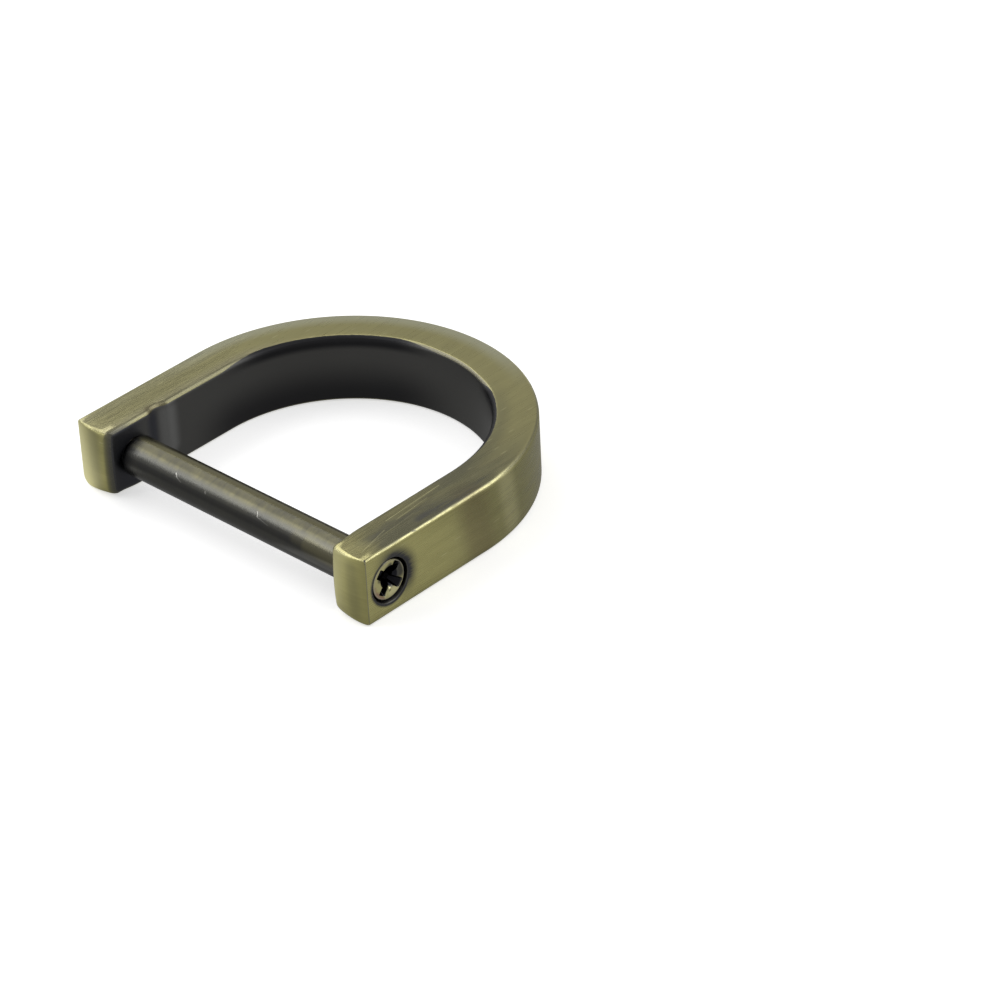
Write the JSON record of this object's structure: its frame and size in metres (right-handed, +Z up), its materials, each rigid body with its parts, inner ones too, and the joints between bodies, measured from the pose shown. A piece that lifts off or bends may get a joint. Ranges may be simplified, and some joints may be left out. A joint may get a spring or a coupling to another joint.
{
  "type": "screw bar d ring",
  "caption": "D-shaped ring of square-edged band, closed across its feet by a round bar with a cross recess that screws out sideways.",
  "frame": {"origin": "middle of the whole outline at the height of the surface that the ring lies on", "axes": "+X along the bar towards its screw end, +Y from the feet to the crown, +Z up from the face that it lies on"},
  "size_m": [0.0326, 0.03, 0.0062],
  "materials": {
    "antique_brass": "antique brass plating, brushed lengthwise, dark in the recesses and worn bright on the edges",
    "plated_steel": "steel with a darkened antique plating, brushed crosswise, pale gold on the screw end"
  },
  "bodies": {
    "ring": {"bow": "antique_brass"},
    "bar": {"screw_bar": "plated_steel"}
  },
  "joints": [
    {"name": "bar_slide", "type": "slide", "parent": "ring", "child": "bar", "axis": [1, 0, 0], "range_m": [0, 0.034]}
  ]
}
